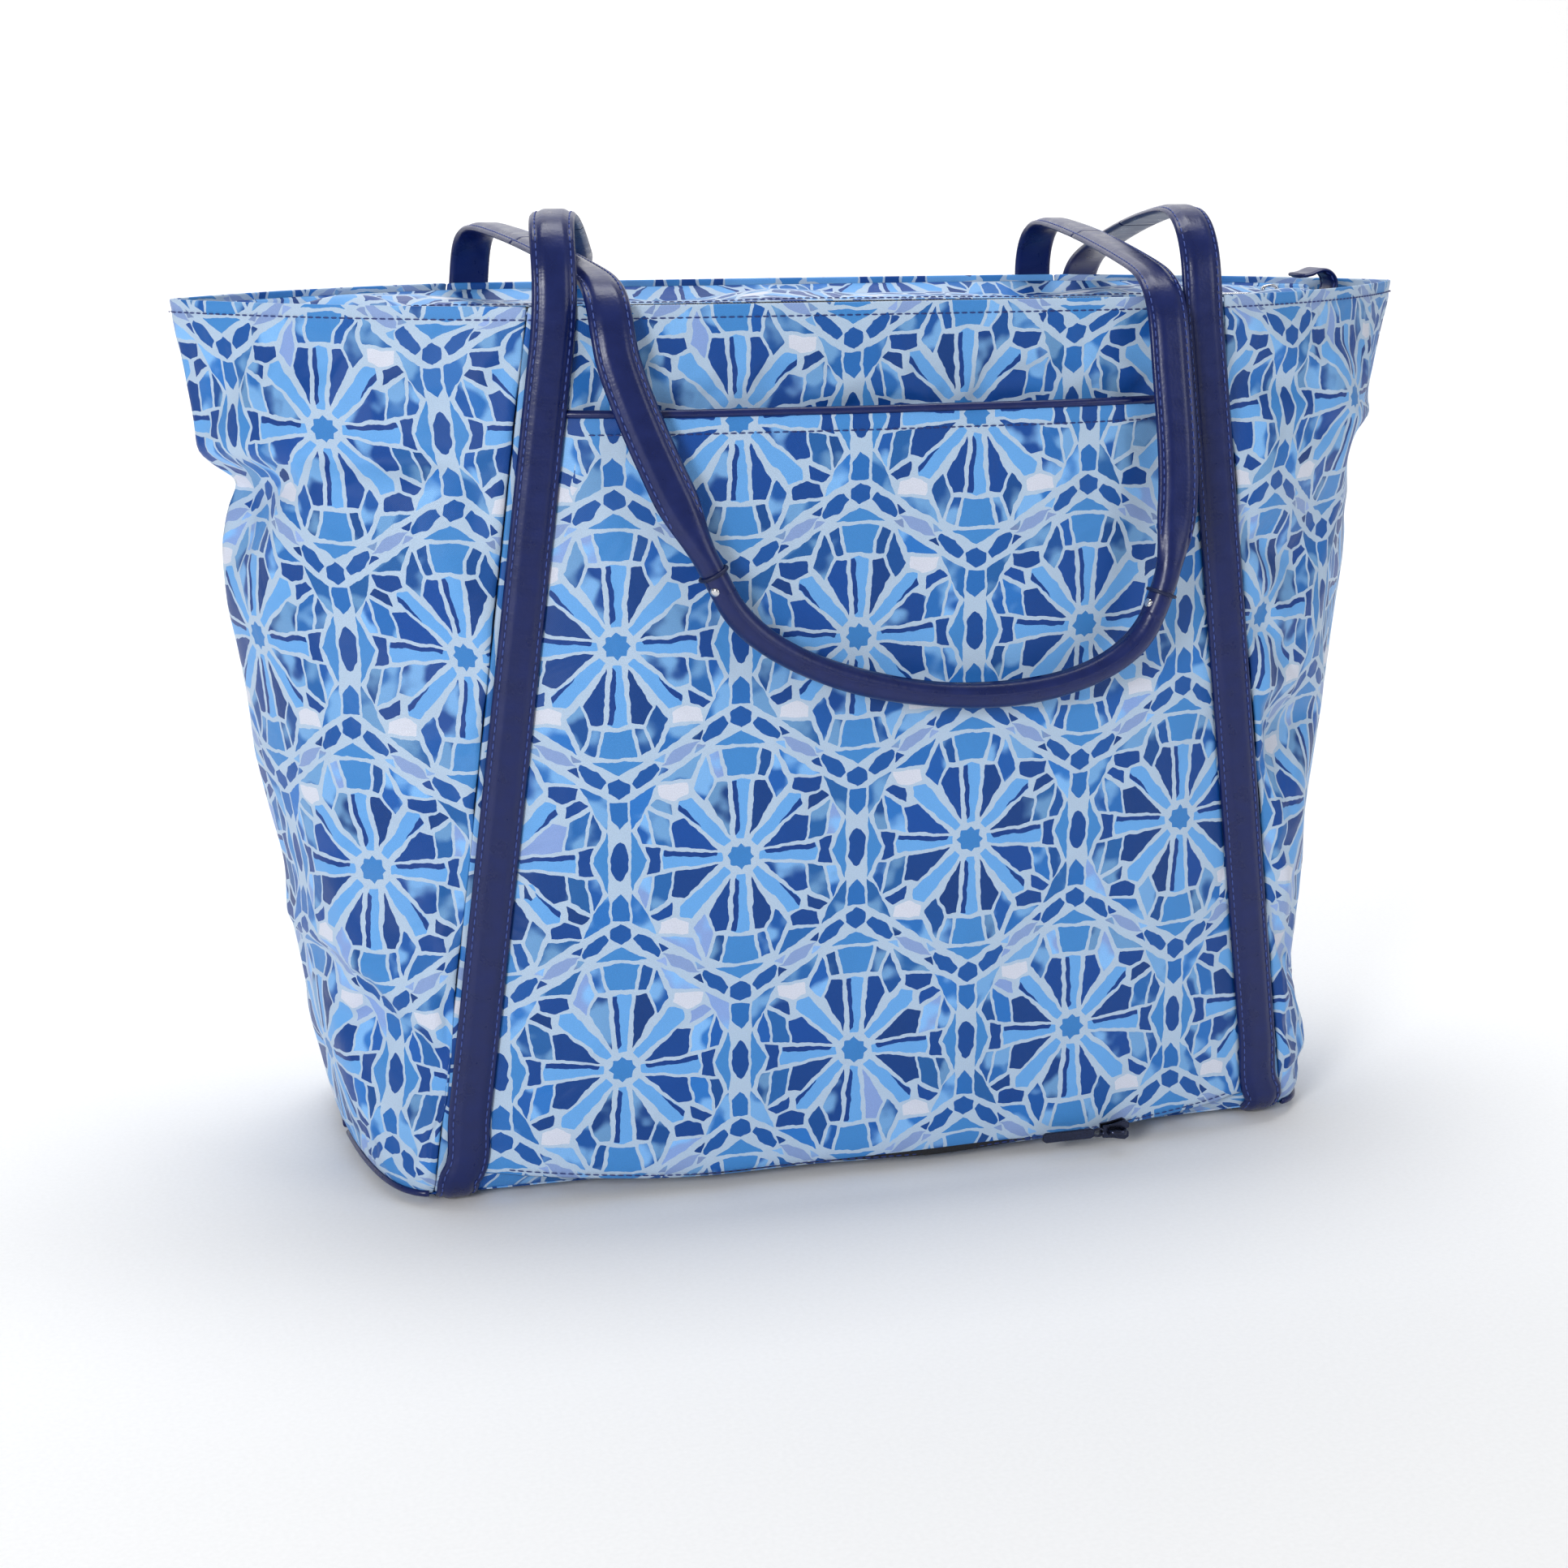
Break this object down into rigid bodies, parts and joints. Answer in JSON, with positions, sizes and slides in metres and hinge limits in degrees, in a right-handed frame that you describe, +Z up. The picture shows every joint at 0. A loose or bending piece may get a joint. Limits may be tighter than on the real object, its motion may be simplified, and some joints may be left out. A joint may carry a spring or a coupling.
{
  "type": "foldable tote bag",
  "caption": "Soft open-top tote with an open zip, two long leather handles with rolled grips, and a back sleeve for a suitcase handle.",
  "frame": {"origin": "middle of the bag on the floor it stands on", "axes": "+Z up, +X along the mouth to the end where the zip slider is parked, -Y the back with the sleeve, +Y the front"},
  "size_m": [0.4938, 0.2264, 0.3624],
  "materials": {
    "cloth": "coated twill cloth, printed in blues with a satin sheen",
    "lining": "plain woven lining",
    "leather": "navy coated leather, fine grain, stitched edges",
    "zip_tape": "woven zip tape",
    "zip_teeth": "nylon coil",
    "metal": "polished nickel plate"
  },
  "bodies": {
    "bag": {"back_panel": "cloth", "side_back_left": "cloth", "side_back_right": "cloth", "side_front_left": "cloth", "side_front_right": "cloth", "base_panel": "cloth", "base_strap_left": "leather", "base_strap_right": "leather", "lining": "lining", "facing_back": "cloth", "zip_tape_back": "zip_tape", "zip_teeth_back": "zip_teeth", "sleeve": "cloth", "sleeve_binding": "leather", "sleeve_zip_tape": "zip_tape", "sleeve_zip_teeth": "zip_teeth", "strap_back_left": "leather", "strap_back_right": "leather"},
    "front": {"front_panel": "cloth", "facing_front": "cloth", "zip_tape_front": "zip_tape", "zip_teeth_front": "zip_teeth", "strap_front_left": "leather", "strap_front_right": "leather"},
    "zip_line": {"zip_tail": "leather"},
    "zip_slider": {"zip_slider": "metal"},
    "zip_pull": {"zip_pull": "metal"},
    "sleeve_zip_slider": {"sleeve_zip_slider": "metal"},
    "sleeve_zip_pull": {"sleeve_zip_pull": "metal"},
    "back_handle_bridge": {"back_bridge_left": "leather", "back_bridge_right": "leather"},
    "back_handle_grip": {"back_leg_left": "leather", "back_leg_right": "leather", "back_grip": "leather", "back_rivets": "metal"},
    "front_handle_bridge": {"front_bridge_left": "leather", "front_bridge_right": "leather"},
    "front_handle_grip": {"front_leg_left": "leather", "front_leg_right": "leather", "front_grip": "leather", "front_rivets": "metal"}
  },
  "joints": [
    {"name": "fold_flat", "type": "slide", "parent": "bag", "child": "front", "axis": [0, -1, 0], "range_m": [0, 0.13], "deforming": ["side_back_left", "side_back_right", "side_front_left", "side_front_right", "base_panel", "base_strap_left", "base_strap_right", "lining", "facing_back", "facing_front", "zip_tape_back", "zip_tape_front", "zip_teeth_back", "zip_teeth_front"]},
    {"name": "zip_line_follow", "type": "slide", "parent": "bag", "child": "zip_line", "axis": [0, -1, 0], "range_m": [0, 0.065]},
    {"name": "top_zip", "type": "slide", "parent": "zip_line", "child": "zip_slider", "axis": [-1, 0, 0], "range_m": [0, 0.385]},
    {"name": "top_zip_pull", "type": "hinge", "parent": "zip_slider", "child": "zip_pull", "pos_m": [0.1859, 0, 0.3251], "axis": [0, 1, 0], "range_deg": [0, 90]},
    {"name": "sleeve_zip", "type": "slide", "parent": "bag", "child": "sleeve_zip_slider", "axis": [-1, 0, 0], "range_m": [0, 0.184]},
    {"name": "sleeve_zip_pull", "type": "hinge", "parent": "sleeve_zip_slider", "child": "sleeve_zip_pull", "pos_m": [0.0854, -0.09871, 0.0091], "axis": [0, 0, 1], "range_deg": [0, 90]},
    {"name": "back_handle_lean", "type": "hinge", "parent": "bag", "child": "back_handle_bridge", "pos_m": [0, -0.081, 0.354], "axis": [1, 0, 0], "range_deg": [0, 75], "deforming": ["back_bridge_left", "back_bridge_right"]},
    {"name": "back_handle_hang", "type": "hinge", "parent": "back_handle_bridge", "child": "back_handle_grip", "pos_m": [0, 0.09, 0.332], "axis": [1, 0, 0], "range_deg": [0, 85]},
    {"name": "front_handle_lean", "type": "hinge", "parent": "front", "child": "front_handle_bridge", "pos_m": [0, 0.081, 0.35], "axis": [-1, 0, 0], "range_deg": [0, 75], "deforming": ["front_bridge_left", "front_bridge_right"]},
    {"name": "front_handle_hang", "type": "hinge", "parent": "front_handle_bridge", "child": "front_handle_grip", "pos_m": [0, -0.09, 0.332], "axis": [-1, 0, 0], "range_deg": [0, 85]}
  ],
  "couplings": [
    {"joint": "zip_line_follow", "follows": "fold_flat", "ratio": 0.5}
  ]
}
